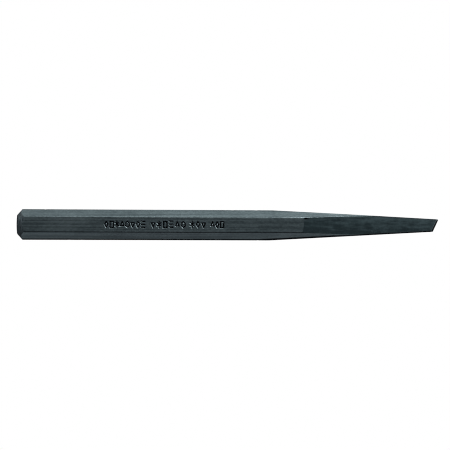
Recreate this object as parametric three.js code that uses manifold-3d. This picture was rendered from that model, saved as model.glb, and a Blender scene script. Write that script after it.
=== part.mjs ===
// A hexagonal steel hand punch: a plain hexagonal shank with a turned, chamfered struck end, and a
// working end ground to a long four-sided taper that stops at a slanted, diamond-shaped face.
//
// It is one piece of bar, so the model is one solid. Units are millimetres. The bar lies along X
// with its working end towards +X. One flat of the hexagon lies on Z = 0 and the opposite flat faces
// +Z, so two corners of the hexagon point along +Y and -Y. The origin is below the middle of the bar.

import * as THREE from 'three';
import { mergeVertices } from 'three/addons/utils/BufferGeometryUtils.js';
import Module from 'manifold-3d';

// Bar stock
const LENGTH = 206.4;               // struck end to the leading corner of the working end
const ACROSS_FLATS = 12.7;          // half-inch hexagonal bar
const ARRIS_RADIUS = 0.35;          // rounding of the six long corners of the bar
const ARRIS_HALF_STEPS = 2;         // half the straight steps that make up one rounded corner

// Struck end, turned on the bar's axis
const STRUCK_RADIUS = 4.5;          // where the end face and the chamfer would meet if both were sharp
const CHAMFER_ANGLE = 48;           // degrees between the chamfer and the bar's axis
const RIM_RADIUS = 0.45;            // rounding between the end face and the chamfer
const RIM_STEPS = 4;
const TURNED_SIDES = 96;

// Working end, ground on four sides
const TAPER_ANGLE = 2.96;           // degrees between each ground side and the bar's axis
const SIDE_GRIND_LENGTH = 84.5;     // from the leading corner back to where the Y sides leave the bar
const FACE_GRIND_LENGTH = 68.8;     // from the leading corner back to where the Z sides leave the bar
const END_FACE_ANGLE = 60;          // degrees between the slanted end face and the bar's axis

// Room for the cutting bodies to pass right through the bar
const CLEARANCE = 3;

const STRUCK_X = -LENGTH / 2;
const LEAD_X = LENGTH / 2;
const AXIS_HEIGHT = ACROSS_FLATS / 2;
const HEX_SIDES = 6;
const HALF_SIDE_ANGLE = Math.PI / HEX_SIDES;
const ARRIS_CENTRE = (ACROSS_FLATS / 2 - ARRIS_RADIUS) / Math.cos(HALF_SIDE_ANGLE);
const HALF_ACROSS_CORNERS = ARRIS_CENTRE + ARRIS_RADIUS;
const ENVELOPE_RADIUS = HALF_ACROSS_CORNERS + CLEARANCE;
const TAPER_SLOPE = Math.tan(THREE.MathUtils.degToRad(TAPER_ANGLE));

const steel = new THREE.MeshStandardMaterial({
  name: 'black_oxide_steel',
  color: 0x2b3033,
  roughness: 0.45,
  metalness: 0.7,
});

const wasm = await Module();
wasm.setup();

// A closed three.js geometry as a solid that can be joined and cut.
function solid(geometry) {
  const plain = geometry.index ? geometry.toNonIndexed() : geometry.clone();
  plain.deleteAttribute('normal');
  plain.deleteAttribute('uv');
  const merged = mergeVertices(plain, 1e-4);
  return new wasm.Manifold(new wasm.Mesh({
    numProp: 3,
    vertProperties: merged.attributes.position.array,
    triVerts: merged.index.array,
  }));
}

// The solid's surface as a three.js geometry.
function surface(body) {
  const mesh = body.getMesh();
  const geometry = new THREE.BufferGeometry();
  geometry.setAttribute('position', new THREE.BufferAttribute(mesh.vertProperties, mesh.numProp));
  geometry.setIndex(new THREE.BufferAttribute(mesh.triVerts, 1));
  geometry.computeVertexNormals();
  return geometry;
}

// Turns a geometry made along +Z so that it runs along +X, with its own X and Y as Y and Z.
function layAlongX(geometry) {
  const axes = new THREE.Matrix4().makeBasis(
    new THREE.Vector3(0, 1, 0),
    new THREE.Vector3(0, 0, 1),
    new THREE.Vector3(1, 0, 0),
  );
  return geometry.applyMatrix4(axes);
}

// The hexagonal bar before any machining, with rounded long corners.
function hexagonalBar() {
  const section = new THREE.Shape();
  for (let corner = 0; corner < HEX_SIDES; corner += 1) {
    const angle = corner * 2 * HALF_SIDE_ANGLE;
    section.absarc(
      ARRIS_CENTRE * Math.cos(angle),
      ARRIS_CENTRE * Math.sin(angle),
      ARRIS_RADIUS,
      angle - HALF_SIDE_ANGLE,
      angle + HALF_SIDE_ANGLE,
      false,
    );
  }
  section.closePath();
  const bar = new THREE.ExtrudeGeometry(section, {
    depth: LENGTH + 2 * CLEARANCE,
    curveSegments: ARRIS_HALF_STEPS,
    bevelEnabled: false,
  });
  layAlongX(bar);
  return bar.translate(STRUCK_X - CLEARANCE, 0, 0);
}

// The turned envelope of the struck end: a rounded rim and a conical chamfer that runs out past the
// corners of the hexagon. It is a lathe body on the bar's axis. A plain boss stands on its end where the
// flat face will be, for the facing cut to take off.
function turnedEnvelope() {
  const chamfer = THREE.MathUtils.degToRad(CHAMFER_ANGLE);
  const rimTurn = Math.PI / 2 - chamfer;
  const rimSetback = RIM_RADIUS * Math.tan(rimTurn / 2);
  const rimCentreRadius = STRUCK_RADIUS - rimSetback;
  const profile = [
    new THREE.Vector2(0, STRUCK_X - CLEARANCE),
    new THREE.Vector2(rimCentreRadius, STRUCK_X - CLEARANCE),
  ];
  for (let step = 0; step <= RIM_STEPS; step += 1) {
    const turn = rimTurn * step / RIM_STEPS;
    profile.push(new THREE.Vector2(
      rimCentreRadius + RIM_RADIUS * Math.sin(turn),
      STRUCK_X + RIM_RADIUS * (1 - Math.cos(turn)),
    ));
  }
  const chamferLength = (ENVELOPE_RADIUS - STRUCK_RADIUS) / Math.tan(chamfer);
  profile.push(new THREE.Vector2(ENVELOPE_RADIUS, STRUCK_X + chamferLength));
  profile.push(new THREE.Vector2(ENVELOPE_RADIUS, LEAD_X + CLEARANCE));
  profile.push(new THREE.Vector2(0, LEAD_X + CLEARANCE));
  const turned = new THREE.LatheGeometry(profile, TURNED_SIDES);
  return turned.rotateZ(-Math.PI / 2);
}

// Half the width that the ground sides leave at a place along the bar, when they leave a bar of the
// given half width at the given distance back from the leading corner.
function groundHalfWidth(x, halfWidth, grindLength) {
  return halfWidth - (x - (LEAD_X - grindLength)) * TAPER_SLOPE;
}

// A long body that is wider than the bar along the shank and closes in at the taper angle, drawn in
// the plane of the taper and as thick as the bar.
function taperedEnvelope(halfWidth, grindLength) {
  const grindStart = LEAD_X - grindLength;
  const shoulderX = grindStart - CLEARANCE / TAPER_SLOPE;
  const shoulder = halfWidth + CLEARANCE;
  const farX = LEAD_X + CLEARANCE;
  const far = groundHalfWidth(farX, halfWidth, grindLength);
  const outline = new THREE.Shape([
    new THREE.Vector2(STRUCK_X - CLEARANCE, -shoulder),
    new THREE.Vector2(shoulderX, -shoulder),
    new THREE.Vector2(farX, -far),
    new THREE.Vector2(farX, far),
    new THREE.Vector2(shoulderX, shoulder),
    new THREE.Vector2(STRUCK_X - CLEARANCE, shoulder),
  ]);
  const envelope = new THREE.ExtrudeGeometry(outline, {
    depth: 2 * ENVELOPE_RADIUS,
    bevelEnabled: false,
  });
  return envelope.translate(0, 0, -ENVELOPE_RADIUS);
}

// What the slanted end cut takes away: a block whose near side is the end face. The face leans on the
// diagonal of the square taper, so that one long corner, at +Y and down, leads.
function endCut() {
  const lean = Math.tan(THREE.MathUtils.degToRad(90 - END_FACE_ANGLE)) / Math.SQRT2;
  const leadY = groundHalfWidth(LEAD_X, HALF_ACROSS_CORNERS, SIDE_GRIND_LENGTH);
  const leadZ = -groundHalfWidth(LEAD_X, ACROSS_FLATS / 2, FACE_GRIND_LENGTH);
  const outward = new THREE.Vector3(1, -lean, lean).normalize();
  const turn = new THREE.Quaternion().setFromUnitVectors(new THREE.Vector3(1, 0, 0), outward);
  const size = 4 * ENVELOPE_RADIUS;
  const block = new THREE.BoxGeometry(size, size, size);
  block.translate(size / 2, 0, 0);
  block.applyQuaternion(turn);
  return block.translate(LEAD_X, leadY, leadZ);
}

function punchBody() {
  const body = solid(hexagonalBar())
    .intersect(solid(turnedEnvelope()).trimByPlane([1, 0, 0], STRUCK_X))
    .intersect(solid(taperedEnvelope(HALF_ACROSS_CORNERS, SIDE_GRIND_LENGTH)))
    .intersect(solid(taperedEnvelope(ACROSS_FLATS / 2, FACE_GRIND_LENGTH).rotateX(Math.PI / 2)))
    .subtract(solid(endCut()));
  const mesh = new THREE.Mesh(surface(body), steel);
  mesh.name = 'punch_body';
  mesh.position.z = AXIS_HEIGHT;
  return mesh;
}

const punch = new THREE.Group();
punch.add(punchBody());

export default punch;
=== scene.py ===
"""Looks for a hexagonal steel hand punch with a ground square taper and a slanted, diamond-shaped end.

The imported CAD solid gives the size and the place. One detailed mesh stands for it: the milled bar with
rounded, lightly dented arrises, the turned struck end, the ground taper, the slanted end face and a row
of stamped generic signs. The geometry and the steel's finish are worked out in millimetres in the bar's
own axes, with x along the bar, y and z across it and the origin on the bar's axis. The finished mesh, the
floor, the lights and the camera are in metres.
"""

import math

import bpy
import numpy as np
from mathutils import Matrix, Vector


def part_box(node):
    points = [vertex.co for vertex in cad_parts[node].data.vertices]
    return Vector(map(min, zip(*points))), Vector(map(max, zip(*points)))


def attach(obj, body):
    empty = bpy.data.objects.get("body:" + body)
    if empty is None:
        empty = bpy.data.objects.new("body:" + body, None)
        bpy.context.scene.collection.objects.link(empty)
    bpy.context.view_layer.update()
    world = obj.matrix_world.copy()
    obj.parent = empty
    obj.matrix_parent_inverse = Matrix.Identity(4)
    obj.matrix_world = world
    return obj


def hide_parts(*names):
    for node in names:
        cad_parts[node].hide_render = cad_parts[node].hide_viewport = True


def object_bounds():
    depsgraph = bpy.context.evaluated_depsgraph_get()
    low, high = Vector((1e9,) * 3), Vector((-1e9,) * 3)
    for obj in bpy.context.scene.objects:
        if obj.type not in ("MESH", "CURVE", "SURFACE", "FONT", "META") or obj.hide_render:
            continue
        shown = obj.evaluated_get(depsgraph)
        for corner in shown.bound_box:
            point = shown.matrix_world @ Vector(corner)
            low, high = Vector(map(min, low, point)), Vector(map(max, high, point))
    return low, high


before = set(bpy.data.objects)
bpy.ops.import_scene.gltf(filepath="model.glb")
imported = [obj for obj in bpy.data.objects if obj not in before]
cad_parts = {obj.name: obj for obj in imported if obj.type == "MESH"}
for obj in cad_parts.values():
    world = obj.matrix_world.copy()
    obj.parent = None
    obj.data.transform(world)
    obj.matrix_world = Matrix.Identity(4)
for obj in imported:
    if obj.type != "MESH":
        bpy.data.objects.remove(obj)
CAD_LOW, CAD_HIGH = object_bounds()

# ---------------------------------------------------------------------------------------------------
# Dimensions, in millimetres. The overall ones are read from the CAD solid.

MM = 0.001
BODY_LOW, BODY_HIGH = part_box("punch_body")
LENGTH = (BODY_HIGH.x - BODY_LOW.x) / MM
ACROSS_FLATS = (BODY_HIGH.z - BODY_LOW.z) / MM
ACROSS_CORNERS = (BODY_HIGH.y - BODY_LOW.y) / MM
AXIS_POINT = (BODY_LOW + BODY_HIGH) / 2

STRUCK_X = -LENGTH / 2
LEAD_X = LENGTH / 2
HALF_FLATS = ACROSS_FLATS / 2
HALF_CORNERS = ACROSS_CORNERS / 2

STRUCK_RADIUS = 4.5
CHAMFER_ANGLE = math.radians(48)
RIM_RADIUS = 0.45
END_CROWN = 0.06
TURNED_PITCH = 0.52
TURNED_DEPTH = 0.03

# Where the ground sides start. Opposite sides start a little apart.
SIDE_GRIND_X = LEAD_X - 84.5
SIDE_GRIND_STAGGER = 0.8
FACE_GRIND_X = LEAD_X - 68.8
FACE_GRIND_STAGGER = 0.4
FACE_SLOPE = math.tan(math.radians(2.96))
LEFT_SLOPE = math.tan(math.radians(2.82))
RIGHT_SLOPE = math.tan(math.radians(3.10))
LEAN_DEPTH = math.tan(math.radians(30)) / math.sqrt(2)
LEAN_WIDTH = 0.48
TIP_LEFT = HALF_CORNERS - (LEAD_X - SIDE_GRIND_X - SIDE_GRIND_STAGGER) * LEFT_SLOPE
TIP_HALF_WIDTH = HALF_CORNERS - (LEAD_X - SIDE_GRIND_X) * FACE_SLOPE
TIP_HALF_DEPTH = HALF_FLATS - (LEAD_X - FACE_GRIND_X) * FACE_SLOPE
END_FACE_X = LEAD_X - LEAN_WIDTH * TIP_LEFT - LEAN_DEPTH * TIP_HALF_DEPTH
END_EDGE_RADIUS = 0.12

# Rounding the arrises takes a little off the width, and this puts it back
WIDTH_EASE = 1.007

# How fine the mesh is: lines along the bar, rings around it, and the finer patch for the stamped row
LINES_AROUND = 168
FACE_RINGS = 40
RIM_RINGS = 7
CHAMFER_RINGS = 42
SHANK_STEP = 2.0
TAPER_STEP = 1.6
LEAST_STEP = 0.08
GRIND_START_RINGS = 25
LEAN_RINGS = 24
END_FACE_RINGS = 9
MARK_FINENESS_X = 18
MARK_FINENESS_Y = 5

# How brightly the rim, the chamfer's outer edge and the slanted face's edge are rubbed. The rim is rubbed
# only where the bar's surface there lies beyond RIM_WEAR_Y.
RIM_WEAR = 0.6
RIM_WEAR_Y = -2
MEETING_WEAR = 0.2
END_EDGE_WEAR = 0.35

# The stamped row on the upper flat. Each group has a start, a pitch and its signs. Beyond STAMP_REACH from a
# sign, the stamp has no effect.
MARK_CENTRE_Y = 0.1
SIGN_HALF_WIDTH = 0.80
SIGN_HALF_HEIGHT = 1.42
STROKE_HALF_WIDTH = 0.44
STROKE_FLOOR = 0.12
STROKE_DEPTH = 0.30
LIP_HEIGHT = 0.03
LIP_REACH = 0.10
STAMP_REACH = 1
SIGN_SCATTER = 0.05
STRIKE_FORCES = (0.85, 1.1)
MARK_GROUPS = (
    (-62.5, 2.52, ("diamond", "square", "star", "triangle", "hexagon", "wedge", "diamond", "bars")),
    (-40.1, 2.92, ("wedge", "star", "square", "bars", "triangle", "hexagon")),
    (-21.2, 2.75, ("star", "diamond", "wedge")),
    (-11.4, 2.30, ("triangle", "diamond", "square")),
)

rng = np.random.default_rng(20)


# ---------------------------------------------------------------------------------------------------
# The bar's surface as a distance from its axis

HEX_NORMALS = [math.radians(30 + 60 * side) for side in range(6)]
SQUARE_NORMALS = [math.radians(90 * side) for side in range(4)]

# The four ground sides, from the one that faces +Y round by way of +Z: where each leaves the bar, how far
# from the axis it is there, its slope, and how much it is turned about the bar's axis per slope
GROUND_SIDES = (
    (SIDE_GRIND_X + SIDE_GRIND_STAGGER, HALF_CORNERS, LEFT_SLOPE, 0.03),
    (FACE_GRIND_X, HALF_FLATS, FACE_SLOPE, 0.077),
    (SIDE_GRIND_X - SIDE_GRIND_STAGGER, HALF_CORNERS, RIGHT_SLOPE, -0.04),
    (FACE_GRIND_X + FACE_GRIND_STAGGER, HALF_FLATS, FACE_SLOPE, -0.05),
)

# How sharply two sides meet in a corner, and how sharply its wear, painted highlight and painted shade gather
# there
BAR_SHARPNESS = 9.0
TAPER_SHARPNESS = 15.0
LINE_SHARPNESS = 5.0
BAR_BAND_SHARPNESS = 1.0
TAPER_BAND_SHARPNESS = 2.0
WAVE_LENGTHS = (23.0, 41.0, 67.0)
FACE_WAVES = rng.uniform(0, 2 * math.pi, (len(HEX_NORMALS) + len(SQUARE_NORMALS), len(WAVE_LENGTHS)))
WAVE_HEIGHT = 0.006
GROUND_CROWN = 0.09
GROUND_CROWN_LIMIT = 2

# The least cosine between a side's normal and the way to a point, which keeps far sides finite
LEAST_FACING = 0.2


def turn_between(angle, start):
    """How far the angle is turned from start, from minus half a turn to half a turn."""
    return np.remainder(angle - start + math.pi, 2 * math.pi) - math.pi


def waviness(face, x):
    """How far a face lies inside its true plane: a few thousandths of a millimetre, never outside."""
    waves = sum(
        np.sin(2 * math.pi * x / length + phase)
        for length, phase in zip(WAVE_LENGTHS, FACE_WAVES[face])
    )
    return WAVE_HEIGHT * (waves / len(WAVE_LENGTHS) - 1)


def soft_least(distances, sharpness):
    """The least of several distances with its corners rounded, and each one's share in it."""
    stacked = np.stack(distances)
    least = stacked.min(0)
    weights = np.exp(-sharpness * (stacked - least))
    total = weights.sum(0)
    return least - np.log(total) / sharpness, weights / total


def nearness(distances, sharpness):
    """How near each point is to a corner between two of the distances, from 0 to 1."""
    return 2 * (1 - soft_least(distances, sharpness)[1].max(0))


def blended_least(a, b, width):
    """The lesser of a and b, rounded where they differ by less than width, and how rounded it is."""
    closeness = np.maximum(width - np.abs(a - b), 0) / width
    return np.minimum(a, b) - closeness ** 2 * width / 4, closeness


def bar_distances(theta, x):
    """Distance from the axis to each of the six sides of the bar."""
    distances = []
    for face, normal in enumerate(HEX_NORMALS):
        facing = np.maximum(np.cos(theta - normal), LEAST_FACING)
        distances.append((HALF_FLATS + waviness(face, x)) / facing)
    return distances


def taper_distances(theta, x):
    """Distance from the axis to each of the four ground sides, carried on past where they leave the bar."""
    distances = []
    for face, normal in enumerate(SQUARE_NORMALS):
        start, half, slope, slant = GROUND_SIDES[face]
        turn = turn_between(theta, normal)
        crown = GROUND_CROWN * np.minimum(np.tan(np.clip(turn, -1, 1)) ** 2, GROUND_CROWN_LIMIT)
        out = half - (x - start) * slope + waviness(len(HEX_NORMALS) + face, x) - crown
        facing = np.cos(turn) + slant * slope * np.sin(turn)
        distances.append(out / np.maximum(facing, LEAST_FACING))
    return distances


# How much a hexagon face and a ground side are rounded where they meet, for the degrees between them, up to
# each limit
WIDTH_BY_ANGLE = ((5, 0.004), (35, 0.03), (65, 0.11), (math.inf, 0.1))


def meeting_width():
    """How much each pair of a hexagon face and a ground side is rounded where they meet."""
    widths = np.zeros((len(HEX_NORMALS), len(SQUARE_NORMALS)))
    for i, a in enumerate(HEX_NORMALS):
        for j, b in enumerate(SQUARE_NORMALS):
            between = math.degrees(abs(math.remainder(a - b, 2 * math.pi)))
            widths[i, j] = next(width for limit, width in WIDTH_BY_ANGLE if between < limit)
    return widths


MEETING_WIDTH = meeting_width()


# How each long corner is marked: how much it is rubbed bright, which is partly wear and partly a painted
# highlight, and how much painted shade darkens it in a thin line and in a broad band. The bar's corners start
# at +Y and the taper's between +Y and +Z, and both go round by way of +Z.
BAR_WEAR_AND_SHADE = np.array((
    (0.00, 0.4, 0.25),
    (1.00, 0.0, 0.0),
    (0.00, 1.0, 0.0),
    (0.00, 1.0, 1.0),
    (0.50, 0.2, 0.2),
    (0.75, 0.0, 0.2),
))
TAPER_WEAR_AND_SHADE = np.array((
    (0.00, 1.0, 0.4),
    (0.00, 1.0, 1.0),
    (0.30, 0.2, 0.2),
    (0.50, 0.2, 0.2),
))
BAND_GAIN = 10
BAND_OFFSET = 3

# The bar is also painted dark, as shade, beside the ground side that faces -Y, where that side's plane is
# less than this much above the bar's surface
NEAR_EDGE_REACH = 1.0
NEAR_EDGE_GAIN = 4

# How much the corners are rubbed bright along the bar, which is partly wear and partly a painted highlight
WEAR_AND_SHEEN_PLACES = (-95, 22, 31, 54, 64)
WEAR_AND_SHEEN_SHARES = (0.30, 0.3, 1.0, 0.9, 0.5)

# The depth over which the ground finish sets in, and the rounding from which a meeting is rubbed bright,
# partly as a painted highlight
GROUND_FADE = 0.016
CREASE_START = 0.02
CREASE_RANGE = 0.08


def corner_wear_and_shade(sides, wear_and_shade, corner, band_sharpness, present, upward):
    """How bright and how dark the nearest long corner makes each point, where these sides are present, and
    how rubbed that corner is. The brightness is partly wear and partly a painted highlight, and the darkness
    is painted shade. The broad bands of painted shade are only on the upper half."""
    line = nearness(sides, LINE_SHARPNESS) * present
    band = np.clip(BAND_GAIN * nearness(sides, band_sharpness) - BAND_OFFSET, 0, 1) * present * upward
    wear_and_sheen, lined, banded = np.moveaxis(wear_and_shade[corner % len(wear_and_shade)], -1, 0)
    return line * wear_and_sheen, np.maximum(line * lined, band * banded), wear_and_sheen


def bar_surface(theta, x):
    """Distance from the axis to the ground bar, and the facts bright, dark and ground of each point. Bright
    is rubbed steel and partly a painted highlight, and dark is painted shade.
    """
    bar_sides = bar_distances(theta, x)
    taper_sides = taper_distances(theta, x)
    bar, bar_share = soft_least(bar_sides, BAR_SHARPNESS)
    taper, taper_share = soft_least(taper_sides, TAPER_SHARPNESS)
    width = np.einsum("i...,j...,ij->...", bar_share, taper_share, MEETING_WIDTH)
    radius, closeness = blended_least(bar, taper, width)
    ground = np.clip((bar - taper) / GROUND_FADE + 0.5, 0, 1)
    bar_corner = np.rint(theta / math.radians(60)).astype(int)
    taper_corner = np.floor(theta / math.radians(90)).astype(int)
    upward = np.sin(theta) > 0
    bright, dark, wear_and_sheen = corner_wear_and_shade(
        bar_sides, BAR_WEAR_AND_SHADE, bar_corner, BAR_BAND_SHARPNESS, 1 - ground, upward,
    )
    more_bright, more_dark, _ = corner_wear_and_shade(
        taper_sides, TAPER_WEAR_AND_SHADE, taper_corner, TAPER_BAND_SHARPNESS, ground, upward,
    )
    # Painted shade beside the ground side that faces -Y
    near_edge = np.clip(NEAR_EDGE_GAIN - NEAR_EDGE_GAIN * np.abs(taper - bar) / NEAR_EDGE_REACH, 0, 1)
    more_dark = np.maximum(more_dark, near_edge * taper_share[2] * (1 - ground) * upward)
    # The crease and corner brightness is rubbed steel and partly a painted highlight; the dark fact is
    # painted shade.
    crease = closeness ** 2 * np.clip((width - CREASE_START) / CREASE_RANGE, 0, 1) * wear_and_sheen
    bright = np.maximum(np.maximum(bright, more_bright), crease) * np.interp(x, WEAR_AND_SHEEN_PLACES, WEAR_AND_SHEEN_SHARES)
    return radius, np.minimum(bright, 1), np.minimum(np.maximum(dark, more_dark), 1), ground


# ---------------------------------------------------------------------------------------------------
# Small dents on the arrises, away from the stamped row, and one gouge

DENT_COUNT = 12
DENTED_STRETCHES = ((STRUCK_X + 6, MARK_GROUPS[0][0] - 4), (SIDE_GRIND_X - 22, SIDE_GRIND_X - 2))
DENT_SCATTER = 0.01
DENT_HALF_LENGTHS = (0.35, 0.9)
DENT_HALF_WIDTHS = (0.03, 0.06)
DENT_DEPTHS = (0.03, 0.09)
DENT_RINGS = (-1.0, -0.5, 0.0, 0.5, 1.0)

GOUGE_X = FACE_GRIND_X + 0.15
GOUGE_LENGTH = 3.0
GOUGE_ANGLE = math.radians(64)
GOUGE_HALF_WIDTH = math.radians(3.2)
GOUGE_DEPTH = 0.26
GOUGE_START_WIDTH = 1.2
# How strongly the gouge is painted dark, as shade
GOUGE_DARKNESS = 4


def make_dents():
    """Places and sizes of the dents: x, angle, half length along the bar, half width around it, depth."""
    dents = []
    for n in range(DENT_COUNT):
        arris = math.radians(60 * rng.integers(0, 6))
        stretch = DENTED_STRETCHES[n % 2]
        dents.append((
            rng.uniform(*stretch),
            arris + rng.normal(0, DENT_SCATTER),
            rng.uniform(*DENT_HALF_LENGTHS),
            rng.uniform(*DENT_HALF_WIDTHS),
            rng.uniform(*DENT_DEPTHS),
        ))
    return dents


DENTS = make_dents()


def dent_depth(theta, x):
    """How far the dents, and the gouge where the upper flat's grinding starts, go below the surface."""
    depth = gouge_share(theta, x) * GOUGE_DEPTH
    for place, angle, half_length, half_width, deep in DENTS:
        around = turn_between(theta, angle)
        depth += deep * np.exp(-((x - place) / half_length) ** 2 * 2 - (around / half_width) ** 2)
    return depth


def gouge_share(theta, x):
    """The short gouge that the wheel cut beside the arris where the grinding of the upper flat starts."""
    along = np.clip((x - GOUGE_X) / GOUGE_LENGTH, 0, 1)
    across = (theta - GOUGE_ANGLE) / (GOUGE_HALF_WIDTH * (GOUGE_START_WIDTH - along))
    return np.where((x > GOUGE_X) & (along < 1), (1 - along) * np.exp(-across ** 2), 0)


# ---------------------------------------------------------------------------------------------------
# Stamped signs: plain geometric figures made of straight strokes, in a cell from -1 to 1 each way

def outline(sides, turn):
    """The strokes of a regular figure that fills the cell."""
    angles = turn + np.arange(sides + 1) * 2 * math.pi / sides
    points = np.stack([np.cos(angles), np.sin(angles)], 1)
    points = points / np.abs(points[:-1]).max(0)
    return [(points[n], points[n + 1]) for n in range(sides)]


def strokes(*ends):
    """Strokes given by their two ends."""
    return [(np.array(start, float), np.array(end, float)) for start, end in ends]


SIGNS = {
    "square": outline(4, math.radians(45)),
    "diamond": outline(4, 0),
    "triangle": outline(3, math.radians(90)),
    "wedge": outline(3, math.radians(-90)),
    "hexagon": outline(6, math.radians(90)),
    "star": strokes(((0, -1), (0, 1)), ((-1, -0.5), (1, 0.5)), ((-1, 0.5), (1, -0.5))),
    "bars": strokes(((-1, -1), (1, -1)), ((-1, 0), (1, 0)), ((-1, 1), (1, 1))),
}


def place_signs():
    """Each sign's middle along the bar, its name, how far it sits off the line and how hard it was struck."""
    places = []
    for start, pitch, names in MARK_GROUPS:
        for n, name in enumerate(names):
            x = start + SIGN_HALF_WIDTH + STROKE_HALF_WIDTH + n * pitch
            places.append((x, name, rng.normal(0, SIGN_SCATTER), rng.uniform(*STRIKE_FORCES)))
    return places


SIGN_PLACES = place_signs()
MARK_START_X = SIGN_PLACES[0][0] - SIGN_HALF_WIDTH - STROKE_HALF_WIDTH
MARK_END_X = SIGN_PLACES[-1][0] + SIGN_HALF_WIDTH + STROKE_HALF_WIDTH


def stroke_distance(x, y):
    """Distance to the nearest stroke, and how deep that sign was struck."""
    nearest = np.full(x.shape, math.inf)
    force = np.ones(x.shape)
    scale = np.array([SIGN_HALF_WIDTH, SIGN_HALF_HEIGHT])
    for place, name, offset, struck in SIGN_PLACES:
        close = np.abs(x - place) < SIGN_HALF_WIDTH + STAMP_REACH
        if not close.any():
            continue
        point = np.stack([x[close] - place, y[close] - MARK_CENTRE_Y - offset], -1)
        found = nearest[close]
        for start, end in SIGNS[name]:
            a, b = start * scale, end * scale
            along = np.clip(((point - a) @ (b - a)) / ((b - a) @ (b - a)), 0, 1)
            found = np.minimum(found, np.linalg.norm(point - a - along[..., None] * (b - a), axis=-1))
        changed = found < nearest[close]
        force[close] = np.where(changed, struck, force[close])
        nearest[close] = found
    return nearest, force


def stamp_depth(x, y):
    """How far the stamp pushed the surface down, less the lip that it raised, and the share of full depth."""
    distance, force = stroke_distance(x, y)
    share = np.clip((STROKE_HALF_WIDTH - distance) / (STROKE_HALF_WIDTH - STROKE_FLOOR), 0, 1)
    lip = np.exp(-((distance - STROKE_HALF_WIDTH - LIP_REACH) / LIP_REACH) ** 2)
    return STROKE_DEPTH * force * share - LIP_HEIGHT * lip, share


# ---------------------------------------------------------------------------------------------------
# The mesh: rings around the bar from the middle of the struck end to the middle of the slanted face

# How dark the turned parts are painted as shade: a share, and its change per millimetre of y, where y is that
# of the full bar's surface at the same angle. The struck face is painted dark all over, and the chamfer
# darker towards -Y.
NO_PAINTED_SHADE = (0.0, 0.0)
STRUCK_FACE_PAINTED_SHADE = (0.7, 0.0)
CHAMFER_PAINTED_SHADE = (0.2, -0.09)

# Where the rings lie: the radius of the first one, how far the chamfer's run on past the corners, the close
# ones where the grinding starts, the room round the stamped row, how long the lean takes to grow, how often
# a leaning ring is moved to fit the surface, and how small the last one is
CENTRE_RADIUS = 0.12
CHAMFER_OVERRUN = 0.3
GRIND_START_SPAN = (-0.6, 2.8)
MARK_MARGIN = 0.6
MARK_MARGIN_Y = 0.25
LEAN_LENGTH = 22.0
LEAN_PASSES = 4
CENTRE_SHRINK = 0.1

# How round the chamfer's outer edge is, and the depth over which the turned finish sets in
CAP_ROUNDING = 0.06
TURNED_FADE = 0.05


class Ring:
    """One ring of the mesh. Its points lie at x plus shear times the lean of the end face, no further out
    than cap, and drawn towards the axis by shrink. Wear is how bright its turned or slanted part is rubbed,
    its painted shade how dark its turned part is made, and polish how smooth and black it is."""

    def __init__(self, x, cap=math.inf, shear=0.0, shrink=1.0, wear=0.0, painted_shade=NO_PAINTED_SHADE, polish=0.0):
        self.x = x
        self.cap = cap
        self.shear = shear
        self.shrink = shrink
        self.wear = wear
        self.painted_shade = painted_shade
        self.polish = polish


def struck_end_rings():
    """The crowned end face, its rounded rim and the chamfer. Face and chamfer have fine turned grooves."""
    rim_turn = math.pi / 2 - CHAMFER_ANGLE
    rim_centre = STRUCK_RADIUS - RIM_RADIUS * math.tan(rim_turn / 2)
    rings = []
    for radius in np.linspace(CENTRE_RADIUS, rim_centre, FACE_RINGS):
        crown = END_CROWN * (radius / rim_centre) ** 4
        groove = TURNED_DEPTH * (1 + math.sin(2 * math.pi * radius / TURNED_PITCH)) / 2
        rings.append(Ring(STRUCK_X + crown + groove, cap=radius, painted_shade=STRUCK_FACE_PAINTED_SHADE))
    edge_x = rings[-1].x
    for turn in np.linspace(0, rim_turn, RIM_RINGS)[1:]:
        rings.append(Ring(
            edge_x + RIM_RADIUS * (1 - math.cos(turn)),
            cap=rim_centre + RIM_RADIUS * math.sin(turn),
            wear=RIM_WEAR * math.sin(math.pi * turn / rim_turn),
            painted_shade=STRUCK_FACE_PAINTED_SHADE,
        ))
    chamfer_x, chamfer_radius = rings[-1].x, rings[-1].cap
    chamfer_end = (HALF_CORNERS - chamfer_radius) / math.tan(CHAMFER_ANGLE) + CHAMFER_OVERRUN
    for advance in np.linspace(0, chamfer_end, CHAMFER_RINGS)[1:]:
        groove = TURNED_DEPTH * (1 - math.cos(2 * math.pi * advance / TURNED_PITCH)) / 2
        rings.append(Ring(
            chamfer_x + advance,
            cap=chamfer_radius + advance * math.tan(CHAMFER_ANGLE) - groove,
            painted_shade=CHAMFER_PAINTED_SHADE,
        ))
    return rings


def bar_rings(start):
    """Evenly spaced rings along the shank and the taper, with more at small things."""
    shank = np.arange(start + SHANK_STEP, SIDE_GRIND_X, SHANK_STEP)
    blend_x = END_FACE_X - LEAN_LENGTH
    taper = np.arange(SIDE_GRIND_X, blend_x, TAPER_STEP)
    grind_start = FACE_GRIND_X + np.linspace(*GRIND_START_SPAN, GRIND_START_RINGS)
    dents = [x + step * half_length for x, _, half_length, _, _ in DENTS for step in DENT_RINGS]
    mark_ends = (MARK_START_X - MARK_MARGIN, MARK_END_X + MARK_MARGIN)
    places = np.sort(np.concatenate([shank, taper, grind_start, dents, mark_ends]))
    kept = [places[0]]
    for x in places[1:]:
        if x - kept[-1] > LEAST_STEP:
            kept.append(x)
    return [Ring(x) for x in kept]


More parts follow.
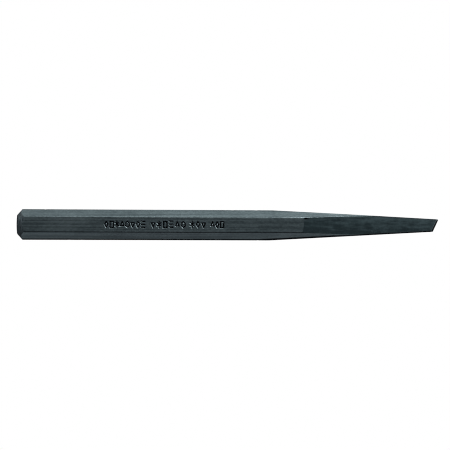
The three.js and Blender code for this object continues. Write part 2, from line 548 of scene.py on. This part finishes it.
def working_end_rings(start):
    """Rings that lean over, step by step, until they lie on the slanted end face, and then close it."""
    rings = []
    last = END_FACE_X - END_EDGE_RADIUS
    for share in np.linspace(0, 1, LEAN_RINGS)[1:]:
        rings.append(Ring(start + (last - start) * share, shear=share))
    for turn in np.radians((30, 60, 90)):
        inward = END_EDGE_RADIUS * (1 - math.cos(turn)) / TIP_HALF_WIDTH
        rings.append(Ring(
            END_FACE_X - END_EDGE_RADIUS * (1 - math.sin(turn)),
            shear=1.0,
            shrink=1 - inward,
            wear=END_EDGE_WEAR,
        ))
    for shrink in np.linspace(rings[-1].shrink, CENTRE_SHRINK, END_FACE_RINGS)[1:]:
        rings.append(Ring(END_FACE_X, shear=1.0, shrink=shrink, polish=1.0))
    return rings


def make_rings():
    """Every ring, from the struck end to the slanted face."""
    rings = struck_end_rings()
    rings += bar_rings(rings[-1].x)
    rings += working_end_rings(rings[-1].x)
    return rings


def corner_angles(x):
    """The angles, in the first quadrant, of the two long edges there at x."""
    half_width = min(HALF_CORNERS - (x - SIDE_GRIND_X) * FACE_SLOPE, HALF_CORNERS)
    half_depth = min(HALF_FLATS - (x - FACE_GRIND_X) * FACE_SLOPE, HALF_FLATS)
    root = math.sqrt(3) / 2
    side_edge = math.atan2(max(HALF_FLATS - root * half_width, 0) * 2, half_width)
    face_edge = math.atan2(half_depth, (HALF_FLATS - 0.5 * half_depth) / root)
    square_corner = math.atan2(half_depth, half_width)
    return min(side_edge, square_corner), max(face_edge, square_corner)


FINE_ANGLES = np.linspace(0, 2 * math.pi, 7201)
EDGE_SPREAD = math.radians(1.7)
GATHERED_SHARE = 0.5


def line_angles(x, lines):
    """The angles of the given long lines of the mesh at x. A share of them gathers round the long edges."""
    side_edge, face_edge = corner_angles(x)
    edges = []
    for quarter in (0, math.pi):
        edges += [quarter + side_edge, quarter - side_edge, quarter + face_edge, quarter - face_edge]
    density = np.full(FINE_ANGLES.shape, (1 - GATHERED_SHARE) / (2 * math.pi))
    peak = GATHERED_SHARE / len(edges) / (EDGE_SPREAD * math.sqrt(2 * math.pi))
    for edge in edges:
        density += peak * np.exp(-(turn_between(FINE_ANGLES, edge) / EDGE_SPREAD) ** 2 / 2)
    cumulative = np.concatenate([[0], np.cumsum((density[1:] + density[:-1]) / 2)])
    cumulative = cumulative / cumulative[-1] * LINES_AROUND
    return np.interp(lines, cumulative, FINE_ANGLES)


FACTS = ("bright", "dark", "ground", "turned", "recess", "polished")

# What counts as the upper flat: points no further below its plane, from its middle line, and round from
# it in radians, than these
UPPER_FLAT_DEPTH = 0.3
UPPER_FLAT_HALF_WIDTH = 3
UPPER_FLAT_HALF_ANGLE = 0.5


def ring_points(ring, lines):
    """Points of the given long lines on a ring, and their facts in the order of FACTS."""
    theta = line_angles(ring.x, lines)
    x = np.full(theta.shape, ring.x)
    for _ in range(LEAN_PASSES if ring.shear else 1):
        radius, bright, dark, ground = bar_surface(theta, x)
        y, z = radius * np.cos(theta), radius * np.sin(theta)
        x = ring.x + ring.shear * (LEAN_WIDTH * y - LEAN_DEPTH * z)
    capped, closeness = blended_least(radius, np.full(theta.shape, ring.cap), CAP_ROUNDING)
    turned = np.clip((radius - ring.cap) / TURNED_FADE + 0.5, 0, 1)
    bright = np.maximum(bright * (1 - turned), closeness ** 2 * MEETING_WEAR)
    bright = np.maximum(bright, turned * ring.wear * np.clip(RIM_WEAR_Y - y, 0, 1))
    # Painted shade on the turned parts: the struck face dark all over, the chamfer darker towards -Y
    painted_shade, painted_shade_per_y = ring.painted_shade
    dark = dark * (1 - turned) + turned * np.clip(painted_shade + painted_shade_per_y * y, 0, 1)
    radius = (capped - dent_depth(theta, x)) * ring.shrink
    y, z = radius * np.cos(theta) * WIDTH_EASE, radius * np.sin(theta)
    if ring.shear:
        x = ring.x + ring.shear * (LEAN_WIDTH * y - LEAN_DEPTH * z)
        bright = np.maximum(bright, ring.wear * np.clip(z, 0, 1))
    bright, dark = bright * (1 - ring.polish), dark * (1 - ring.polish)
    # Painted shade in the gouge: it is darkened, and its rubbing taken off
    gouged = np.clip(GOUGE_DARKNESS * gouge_share(theta, x), 0, 1)
    bright, dark = bright * (1 - gouged), np.maximum(dark, gouged)
    recess = np.zeros(theta.shape)
    if MARK_START_X - STAMP_REACH < ring.x < MARK_END_X + STAMP_REACH:
        upper = (z > HALF_FLATS - UPPER_FLAT_DEPTH) & (np.abs(y) < UPPER_FLAT_HALF_WIDTH)
        depth, share = stamp_depth(x, y)
        z = z - np.where(upper, depth, 0)
        recess = np.where(upper, share, 0)
    polished = np.full(theta.shape, ring.polish)
    return np.stack([x, y, z], -1), np.stack([bright, dark, ground, turned, recess, polished], -1)


def fine_zone(rings):
    """The rings and lines between which the mesh is finer, for the stamped row."""
    margin = MARK_MARGIN + LEAST_STEP
    stamped = [
        math.isinf(ring.cap) and MARK_START_X - margin <= ring.x <= MARK_END_X + margin
        for ring in rings
    ]
    first, last = np.flatnonzero(stamped)[[0, -1]]
    lines = np.arange(LINES_AROUND)
    theta = line_angles((MARK_START_X + MARK_END_X) / 2, lines)
    upper = np.abs(theta - math.pi / 2) < UPPER_FLAT_HALF_ANGLE
    y = HALF_FLATS * np.tan(math.pi / 2 - theta)
    reach = SIGN_HALF_HEIGHT + STROKE_HALF_WIDTH + MARK_MARGIN_Y
    upper &= np.abs(y - MARK_CENTRE_Y) < reach
    return first, last, int(lines[upper].min()) - 1, int(lines[upper].max()) + 1


class MeshBuilder:
    """Collects the points, their facts and the faces of the bar."""

    def __init__(self):
        self.points = []
        self.facts = []
        self.count = 0
        self.faces = []

    def add(self, points, facts):
        """Adds points and returns their numbers."""
        self.points.append(points)
        self.facts.append(facts)
        numbers = np.arange(self.count, self.count + len(points))
        self.count += len(points)
        return numbers


def build_points(builder, rings, zone):
    """Adds every point. Returns the number of each ring and line crossing, and of each fine crossing."""
    first, last, low, high = zone
    crossing = np.zeros((len(rings), LINES_AROUND), int)
    all_lines = np.arange(LINES_AROUND)
    outside = (all_lines < low) | (all_lines > high)
    for i, ring in enumerate(rings):
        lines = all_lines[outside] if first <= i <= last else all_lines
        crossing[i, lines] = builder.add(*ring_points(ring, lines))
    fine_lines = np.linspace(low, high, (high - low) * MARK_FINENESS_Y + 1)
    fine_rows = []
    for i in range(first, last + 1):
        gap = rings[min(i + 1, last)].x - rings[i].x
        pieces = MARK_FINENESS_X if i < last else 1
        for piece in range(pieces):
            fine_ring = Ring(rings[i].x + gap * piece / pieces)
            fine_rows.append(builder.add(*ring_points(fine_ring, fine_lines)))
    fine = np.array(fine_rows)
    crossing[first:last + 1, low:high + 1] = fine[::MARK_FINENESS_X, ::MARK_FINENESS_Y]
    return crossing, fine


def build_faces(builder, crossing, fine, zone):
    """Adds every face: four-sided ones, and many-sided ones where a coarse face meets the fine zone."""
    first, last, low, high = zone
    for i in range(len(crossing) - 1):
        for j in range(LINES_AROUND):
            k = (j + 1) % LINES_AROUND
            in_rows = first <= i < last
            in_lines = low <= j < high
            if in_rows and in_lines:
                continue
            a, b, c, d = crossing[i, j], crossing[i, k], crossing[i + 1, k], crossing[i + 1, j]
            row, column = (i - first) * MARK_FINENESS_X, (j - low) * MARK_FINENESS_Y
            if in_lines and i == last:
                inner = fine[-1, column + 1:column + MARK_FINENESS_Y]
                builder.faces.append([a, *inner, b, c, d])
            elif in_lines and i == first - 1:
                inner = fine[0, column + 1:column + MARK_FINENESS_Y]
                builder.faces.append([a, b, c, *inner[::-1], d])
            elif in_rows and j == high:
                inner = fine[row + 1:row + MARK_FINENESS_X, -1]
                builder.faces.append([a, b, c, d, *inner[::-1]])
            elif in_rows and j == low - 1:
                inner = fine[row + 1:row + MARK_FINENESS_X, 0]
                builder.faces.append([a, b, *inner, c, d])
            else:
                builder.faces.append([a, b, c, d])
    for i in range(len(fine) - 1):
        for j in range(fine.shape[1] - 1):
            builder.faces.append([fine[i, j], fine[i, j + 1], fine[i + 1, j + 1], fine[i + 1, j]])


def close_ends(builder, crossing):
    """Closes the struck end and the slanted face with a fan of triangles round a middle point."""
    for ring, x, turned, order in ((0, STRUCK_X, 1.0, 1), (-1, END_FACE_X, 0.0, -1)):
        # The struck end's middle point carries the struck face's painted shade
        middle = builder.add(
            np.array([[x, 0.0, 0.0]]),
            np.array([[0.0, turned * STRUCK_FACE_PAINTED_SHADE[0], 1 - turned, turned, 0.0, 1 - turned]]),
        )[0]
        for j in range(LINES_AROUND):
            pair = (crossing[ring, j], crossing[ring, (j + 1) % LINES_AROUND])
            builder.faces.append([middle, *pair[::-order]])


def make_body():
    """The finished mesh object, in metres, in the CAD's frame, with the facts that the material reads."""
    rings = make_rings()
    zone = fine_zone(rings)
    builder = MeshBuilder()
    crossing, fine = build_points(builder, rings, zone)
    build_faces(builder, crossing, fine, zone)
    close_ends(builder, crossing)
    points = np.concatenate(builder.points) * MM + np.array(AXIS_POINT)
    facts = np.concatenate(builder.facts)
    mesh = bpy.data.meshes.new("punch_steel")
    mesh.from_pydata(points.tolist(), [], [[int(n) for n in face] for face in builder.faces])
    for n, name in enumerate(FACTS):
        attribute = mesh.attributes.new(name, "FLOAT", "POINT")
        attribute.data.foreach_set("value", facts[:, n].astype(np.float32))
    mesh.polygons.foreach_set("use_smooth", np.ones(len(mesh.polygons), bool))
    mesh.update()
    body = bpy.data.objects.new("punch_steel", mesh)
    bpy.context.scene.collection.objects.link(body)
    return body


# ---------------------------------------------------------------------------------------------------
# Material

OXIDE_DARK = (0.020, 0.029, 0.032, 1)
OXIDE_LIGHT = (0.070, 0.086, 0.089, 1)
GROUND_DARK = (0.003, 0.010, 0.012, 1)
GROUND_LIGHT = (0.021, 0.034, 0.037, 1)
TURNED_DARK = (0.025, 0.034, 0.037, 1)
TURNED_LIGHT = (0.090, 0.108, 0.112, 1)
POLISHED_DARK = (0.015, 0.020, 0.022, 1)
POLISHED_LIGHT = (0.050, 0.060, 0.063, 1)
RECESS_COLOUR = (0.004, 0.005, 0.006, 1)
# The painted shade's colour, and bare steel for wear and for rubbing that is partly a painted highlight
PAINTED_SHADE_COLOUR = (0.004, 0.005, 0.006, 1)
BARE_STEEL_AND_SHEEN = (0.26, 0.29, 0.30, 1)
WALL_WEAR = 0.20
WALL_ROUGHNESS = 0.5
DULL_ROUGHNESS = 0.95
POLISHED_ROUGHNESS = 0.3
PLAIN_METAL = 0.6
BRIGHTENING = 0.85
SPECULAR_LEVEL = 0.45
BUMP_DISTANCE = 0.012 * MM

# The span of noise that runs from a finish's dark colour to its light one
TONE_LOW = 0.41
TONE_HIGH = 0.59

# The ground sides start darker and lighten over a length, and are darker towards -Y, which is painted shade
GROUND_START_TONE = -0.075
GROUND_END_TONE = -0.015
GROUND_FADE_LENGTH = 40
GROUND_SIDE_TONE = 0.05
GROUND_HALF_WIDTH = 3.5


class Graph:
    """Small helpers that add nodes to a material and link them."""

    def __init__(self, material):
        self.tree = material.node_tree
        self.tree.nodes.clear()

    def node(self, kind, inputs=(), **settings):
        made = self.tree.nodes.new(kind)
        for name, value in settings.items():
            setattr(made, name, value)
        for key, value in dict(inputs).items():
            self.put(made.inputs[key], value)
        return made

    def put(self, socket, value):
        if isinstance(value, bpy.types.NodeSocket):
            self.tree.links.new(value, socket)
        else:
            socket.default_value = value

    def maths(self, operation, a, b):
        return self.node("ShaderNodeMath", {0: a, 1: b}, operation=operation).outputs[0]

    def total(self, *parts):
        """The sum of values, each times its weight."""
        result = 0.0
        for value, weight in parts:
            inputs = {0: value, 1: weight, 2: result}
            result = self.node("ShaderNodeMath", inputs, operation="MULTIPLY_ADD").outputs[0]
        return result

    def stretch(self, vector, scale):
        return self.node("ShaderNodeMapping", {"Vector": vector, "Scale": scale}).outputs[0]

    def noise(self, vector, scale, detail, roughness=0.55):
        inputs = {"Vector": vector, "Scale": scale, "Detail": detail, "Roughness": roughness}
        return self.node("ShaderNodeTexNoise", inputs).outputs["Fac"]

    def ramp(self, value, low, high, to_low=0.0, to_high=1.0, smooth=False):
        inputs = {"Value": value, "From Min": low, "From Max": high, "To Min": to_low, "To Max": to_high}
        kind = "SMOOTHSTEP" if smooth else "LINEAR"
        return self.node("ShaderNodeMapRange", inputs, interpolation_type=kind).outputs[0]

    def mix(self, share, a, b):
        made = self.node("ShaderNodeMix", data_type="RGBA")
        self.put(made.inputs[0], share)
        self.put(made.inputs[6], a)
        self.put(made.inputs[7], b)
        return made.outputs[2]

    def mix_value(self, share, a, b):
        made = self.node("ShaderNodeMix", data_type="FLOAT")
        self.put(made.inputs[0], share)
        self.put(made.inputs[2], a)
        self.put(made.inputs[3], b)
        return made.outputs[0]

    def fact(self, name):
        return self.node("ShaderNodeAttribute", attribute_name=name).outputs["Fac"]


def milled_finish(graph, place):
    """Drawn and oxidised bar: lengthwise streaks, a cloudy oxide and a fine mottle. Like each finish here,
    it gives colour, roughness and height."""
    streaks = graph.noise(graph.stretch(place, (0.012, 1.3, 1.3)), 1.0, 4.0, 0.65)
    clouds = graph.noise(graph.stretch(place, (0.5, 1.0, 1.0)), 0.14, 3.0)
    mottle = graph.noise(graph.stretch(place, (0.6, 1.0, 1.0)), 1.3, 3.0, 0.65)
    grain = graph.noise(place, 6.0, 2.0)
    tone = graph.total((streaks, 0.52), (clouds, 0.22), (mottle, 0.26))
    colour = graph.mix(graph.ramp(tone, TONE_LOW, TONE_HIGH), OXIDE_DARK, OXIDE_LIGHT)
    roughness = graph.ramp(mottle, 0.3, 0.7, 0.38, 0.50)
    return colour, roughness, graph.total((streaks, 0.6), (grain, 0.25))


def ground_finish(graph, place):
    """Ground and oxidised sides: darker, with short marks across the bar, lengthwise smears and blotches."""
    lines = graph.noise(graph.stretch(place, (4.0, 0.35, 0.35)), 1.0, 3.0, 0.6)
    smears = graph.noise(graph.stretch(place, (0.07, 0.8, 0.8)), 1.0, 3.0, 0.6)
    blotches = graph.noise(graph.stretch(place, (0.4, 1.0, 1.0)), 0.6, 4.0, 0.6)
    axes = graph.node("ShaderNodeSeparateXYZ", {0: place})
    fade_end = FACE_GRIND_X + GROUND_FADE_LENGTH
    start = graph.ramp(axes.outputs[0], FACE_GRIND_X, fade_end, GROUND_START_TONE, GROUND_END_TONE)
    # Painted shade: the ground sides are darker towards -Y
    side = graph.ramp(
        axes.outputs[1], -GROUND_HALF_WIDTH, GROUND_HALF_WIDTH, -GROUND_SIDE_TONE, GROUND_SIDE_TONE,
    )
    tone = graph.total((lines, 0.15), (smears, 0.40), (blotches, 0.45), (start, 1.0), (side, 1.0))
    colour = graph.mix(graph.ramp(tone, TONE_LOW, TONE_HIGH), GROUND_DARK, GROUND_LIGHT)
    roughness = graph.ramp(blotches, 0.3, 0.7, 0.50, 0.62)
    return colour, roughness, graph.total((lines, 0.9))


def turned_finish(graph, place):
    """Turned struck end: fine rings round the axis, and stains."""
    axes = graph.node("ShaderNodeSeparateXYZ", {0: place})
    radius = graph.node("ShaderNodeCombineXYZ", {0: axes.outputs[1], 1: axes.outputs[2]}).outputs[0]
    radius = graph.node("ShaderNodeVectorMath", {0: radius}, operation="LENGTH").outputs["Value"]
    place_on_profile = graph.node("ShaderNodeCombineXYZ", {0: radius, 1: axes.outputs[0]}).outputs[0]
    rings = graph.noise(place_on_profile, 2.4, 3.0, 0.6)
    stains = graph.noise(place, 0.5, 3.0, 0.6)
    tone = graph.total((rings, 0.6), (stains, 0.4))
    colour = graph.mix(graph.ramp(tone, 0.40, 0.60), TURNED_DARK, TURNED_LIGHT)
    roughness = graph.ramp(stains, 0.3, 0.7, 0.38, 0.52)
    return colour, roughness, graph.total((rings, 1.2))


def polished_colour(graph, place):
    """The smoother slanted face: dark, with faint marks."""
    marks = graph.noise(graph.stretch(place, (1.0, 0.25, 3.5)), 1.0, 3.0, 0.6)
    return graph.mix(graph.ramp(marks, 0.38, 0.62), POLISHED_DARK, POLISHED_LIGHT)


def steel_material():
    """One blackened steel for the whole bar. The mesh's facts say where it has which finish and wear, and
    where shade and highlight are painted.
    """
    material = bpy.data.materials.new("black_oxide_steel")
    material.use_nodes = True
    graph = Graph(material)
    own = graph.node("ShaderNodeTexCoord").outputs["Object"]
    place = graph.node("ShaderNodeMapping", {"Vector": own, "Scale": (1 / MM, 1 / MM, 1 / MM)}).outputs[0]
    colour, roughness, height = milled_finish(graph, place)
    for fact, finish in (("ground", ground_finish), ("turned", turned_finish)):
        share = graph.fact(fact)
        next_colour, next_roughness, next_height = finish(graph, place)
        colour = graph.mix(share, colour, next_colour)
        roughness = graph.mix_value(share, roughness, next_roughness)
        height = graph.mix_value(share, height, next_height)
    polished = graph.fact("polished")
    colour = graph.mix(polished, colour, polished_colour(graph, place))

    recess = graph.fact("recess")
    floor_of_mark = graph.ramp(recess, 0.50, 0.80)
    colour = graph.mix(graph.ramp(recess, 0.05, 0.30), colour, RECESS_COLOUR)
    wall = graph.maths("MULTIPLY", graph.ramp(recess, 0.02, 0.20), graph.ramp(recess, 0.80, 0.50))
    colour = graph.mix(graph.maths("MULTIPLY", wall, WALL_WEAR), colour, BARE_STEEL_AND_SHEEN)
    roughness = graph.mix_value(wall, roughness, WALL_ROUGHNESS)

    chips = graph.noise(graph.stretch(place, (0.5, 1.2, 1.2)), 1.3, 3.0, 0.7)
    # Painted shade: the dark fact darkens corner lines and bands, the turned struck face and chamfer, and the
    # gouge
    dark = graph.fact("dark")
    colour = graph.mix(dark, colour, PAINTED_SHADE_COLOUR)
    # Bright corners: rubbed bare steel, partly a painted highlight
    worn_and_sheen = graph.maths("MULTIPLY", graph.fact("bright"), graph.ramp(chips, 0.40, 0.58, 0.2, 1.0))
    colour = graph.mix(graph.maths("MULTIPLY", worn_and_sheen, BRIGHTENING), colour, BARE_STEEL_AND_SHEEN)

    dull = graph.maths("MAXIMUM", dark, floor_of_mark)
    roughness = graph.mix_value(dull, roughness, DULL_ROUGHNESS)
    roughness = graph.mix_value(polished, roughness, POLISHED_ROUGHNESS)
    metal = graph.maths("MAXIMUM", graph.maths("MAXIMUM", dull, wall), polished)
    metal = graph.maths("MAXIMUM", metal, PLAIN_METAL)

    bump = graph.node("ShaderNodeBump", {"Height": height, "Strength": 1.0, "Distance": BUMP_DISTANCE})
    shader = graph.node("ShaderNodeBsdfPrincipled", {
        "Base Color": colour,
        "Roughness": roughness,
        "Metallic": metal,
        "Normal": bump.outputs[0],
        "Specular IOR Level": SPECULAR_LEVEL,
    })
    output = graph.node("ShaderNodeOutputMaterial")
    graph.put(output.inputs["Surface"], shader.outputs[0])
    return material


# ---------------------------------------------------------------------------------------------------
# Floor, light and camera

WHITE = (1, 1, 1, 1)
BLACK = (0, 0, 0, 1)
FLOOR_SIZE = 12.0
# The floor's painted glow to reflections, which is no lamp, its tint and its paleness; beside the bar both
# fade in a painted shadow from SHADE_START to SHADE_END
FLOOR_GLOW = 0.48
FLOOR_TINT = (0.86, 0.97, 1.0, 1)
FLOOR_PALENESS = (0.6, 0.6, 0.6, 1)
SHADE_START = 1.5 * MM
SHADE_END = 17.0 * MM
WORLD_LIGHT = 0.06
WORLD_TINT = (0.92, 0.97, 1, 1)
KEY_POWER = 32.0
KEY_TINT = (0.90, 1.0, 1.02)
KEY_DISTANCE = 0.85
KEY_ELEVATION = math.radians(10)
KEY_TURN = math.radians(45)
KEY_SIZE = (0.45, 0.22)
TOP_POWER = 1.0
TOP_HEIGHT = 1.6
TOP_SIZE = (0.42, 0.42)
FILL_DISTANCE = 0.9
FILL_SIZE = (0.45, 0.30)
FILL_TINT = (0.86, 0.96, 1.12)
FILLS = (
    ("near_fill", (-0.64, -0.69, 0.35), 1.0),
    ("far_fill", (-0.64, 0.64, 0.42), 1.4),
    ("end_fill", (0.53, -0.62, 0.57), 0.8),
    ("front_fill", (0.0, -0.57, 0.82), 0.9),
    ("side_fill", (0.1, -1.0, 0.10), 0.6),
)

CAMERA_DISTANCE = 1.2
CAMERA_YAW = math.radians(9.0)
CAMERA_PITCH = math.radians(1.5)
CAMERA_ROLL = math.radians(-0.02)
CAMERA_AIM = Vector((-3.07, 0.1, 0.0)) * MM
VIEW_WIDTH = 0.21688
SENSOR_WIDTH = 36.0

# The width of the pixel filter, which makes the edges as crisp as the photograph's
PIXEL_SOFTNESS = 1.1


def floor_shade(graph):
    """How much the floor glows and how pale it is beside the bar: a painted shadow darkens the floor closest
    to it.
    """
    own = graph.node("ShaderNodeTexCoord").outputs["Object"]
    middle = (AXIS_POINT.x, AXIS_POINT.y, 0)
    place = graph.node("ShaderNodeVectorMath", {0: own, 1: middle}, operation="SUBTRACT")
    away = graph.node("ShaderNodeVectorMath", {0: place.outputs[0]}, operation="ABSOLUTE")
    half = (LENGTH / 2 * MM, HALF_CORNERS * MM, 0)
    beyond = graph.node("ShaderNodeVectorMath", {0: away.outputs[0], 1: half}, operation="SUBTRACT")
    beyond = graph.node("ShaderNodeVectorMath", {0: beyond.outputs[0], 1: (0, 0, 0)}, operation="MAXIMUM")
    gap = graph.node("ShaderNodeVectorMath", {0: beyond.outputs[0]}, operation="LENGTH").outputs["Value"]
    return graph.ramp(gap, SHADE_START, SHADE_END, smooth=True)


def floor_material():
    """A pale table: plain white to the camera, and dimmer to what reflects it, where it is a painted glow, no
    lamp, with a pale part, and both carry a painted shadow beside the bar.
    """
    material = bpy.data.materials.new("floor")
    material.use_nodes = True
    graph = Graph(material)
    shade = floor_shade(graph)
    white = graph.node("ShaderNodeEmission", {"Color": WHITE, "Strength": 1.0})
    # Painted light and shadow: the glow is no lamp, and it and the paleness fade to black in a painted shadow
    # beside the bar
    strength = graph.maths("MULTIPLY", shade, FLOOR_GLOW)
    glow = graph.node("ShaderNodeEmission", {"Color": FLOOR_TINT, "Strength": strength})
    paleness = graph.mix(shade, BLACK, FLOOR_PALENESS)
    pale = graph.node("ShaderNodeBsdfDiffuse", {"Color": paleness})
    lit = graph.node("ShaderNodeAddShader", {0: glow.outputs[0], 1: pale.outputs[0]})
    path = graph.node("ShaderNodeLightPath")
    surface = graph.node("ShaderNodeMixShader", {
        0: path.outputs["Is Camera Ray"],
        1: lit.outputs[0],
        2: white.outputs[0],
    })
    output = graph.node("ShaderNodeOutputMaterial")
    graph.put(output.inputs["Surface"], surface.outputs[0])
    return material


def make_floor():
    """A flat floor at the foot of the CAD solid."""
    half = FLOOR_SIZE / 2
    corners = [(-half, -half, 0), (half, -half, 0), (half, half, 0), (-half, half, 0)]
    mesh = bpy.data.meshes.new("floor")
    mesh.from_pydata(corners, [], [(0, 1, 2, 3)])
    mesh.materials.append(floor_material())
    floor = bpy.data.objects.new("floor", mesh)
    floor.location.z = CAD_LOW.z
    bpy.context.scene.collection.objects.link(floor)


def make_world():
    """A dim surrounding light, plain white to the camera."""
    world = bpy.data.worlds.new("studio")
    bpy.context.scene.world = world
    world.use_nodes = True
    graph = Graph(world)
    dim = graph.node("ShaderNodeBackground", {"Color": WORLD_TINT, "Strength": WORLD_LIGHT})
    white = graph.node("ShaderNodeBackground", {"Color": WHITE, "Strength": 1.0})
    path = graph.node("ShaderNodeLightPath")
    surface = graph.node("ShaderNodeMixShader", {
        0: path.outputs["Is Camera Ray"],
        1: dim.outputs[0],
        2: white.outputs[0],
    })
    output = graph.node("ShaderNodeOutputWorld")
    graph.put(output.inputs["Surface"], surface.outputs[0])


def add_softbox(name, place, size, power, tint=(1.0, 1.0, 1.0)):
    """A rectangular soft light at a place, facing the middle of the bar. The camera doesn't see it."""
    light = bpy.data.lights.new(name, "AREA")
    light.color = tint
    light.shape = "RECTANGLE"
    light.size, light.size_y = size
    light.energy = power
    lamp = bpy.data.objects.new(name, light)
    lamp.location = place
    lamp.rotation_mode = "QUATERNION"
    lamp.rotation_quaternion = (AXIS_POINT - place).to_track_quat("-Z", "Y")
    lamp.visible_camera = False
    bpy.context.scene.collection.objects.link(lamp)


def make_lights():
    """A strong key from low on the far side, towards the working end, a soft top light, and weak fills that
    show the other sides."""
    level = math.cos(KEY_ELEVATION)
    away = Vector((math.sin(KEY_TURN) * level, math.cos(KEY_TURN) * level, math.sin(KEY_ELEVATION)))
    add_softbox("key", AXIS_POINT + away * KEY_DISTANCE, KEY_SIZE, KEY_POWER, KEY_TINT)
    add_softbox("top", AXIS_POINT + Vector((0, 0, TOP_HEIGHT)), TOP_SIZE, TOP_POWER)
    for name, direction, power in FILLS:
        place = AXIS_POINT + Vector(direction).normalized() * FILL_DISTANCE
        add_softbox(name, place, FILL_SIZE, power, FILL_TINT)


def make_camera():
    """A long lens almost straight above the bar, a little towards the struck end and the near side."""
    back = Vector((
        -math.sin(CAMERA_YAW) * math.cos(CAMERA_PITCH),
        -math.sin(CAMERA_PITCH),
        math.cos(CAMERA_YAW) * math.cos(CAMERA_PITCH),
    ))
    right = Vector((0, 1, 0)).cross(back).normalized()
    up = back.cross(right)
    turned_right = right * math.cos(CAMERA_ROLL) + up * math.sin(CAMERA_ROLL)
    turned_up = back.cross(turned_right)
    camera = bpy.data.cameras.new("camera")
    camera.sensor_width = SENSOR_WIDTH
    camera.lens = SENSOR_WIDTH * CAMERA_DISTANCE / VIEW_WIDTH
    holder = bpy.data.objects.new("camera", camera)
    axes = Matrix((turned_right, turned_up, back)).transposed().to_4x4()
    holder.matrix_world = Matrix.Translation(AXIS_POINT + CAMERA_AIM + back * CAMERA_DISTANCE) @ axes
    bpy.context.scene.collection.objects.link(holder)
    bpy.context.scene.camera = holder


body = make_body()
body.data.materials.append(steel_material())
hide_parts("punch_body")
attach(body, "root")

make_floor()
make_world()
make_lights()
make_camera()
bpy.context.scene.view_settings.view_transform = "Standard"
bpy.context.scene.cycles.filter_width = PIXEL_SOFTNESS
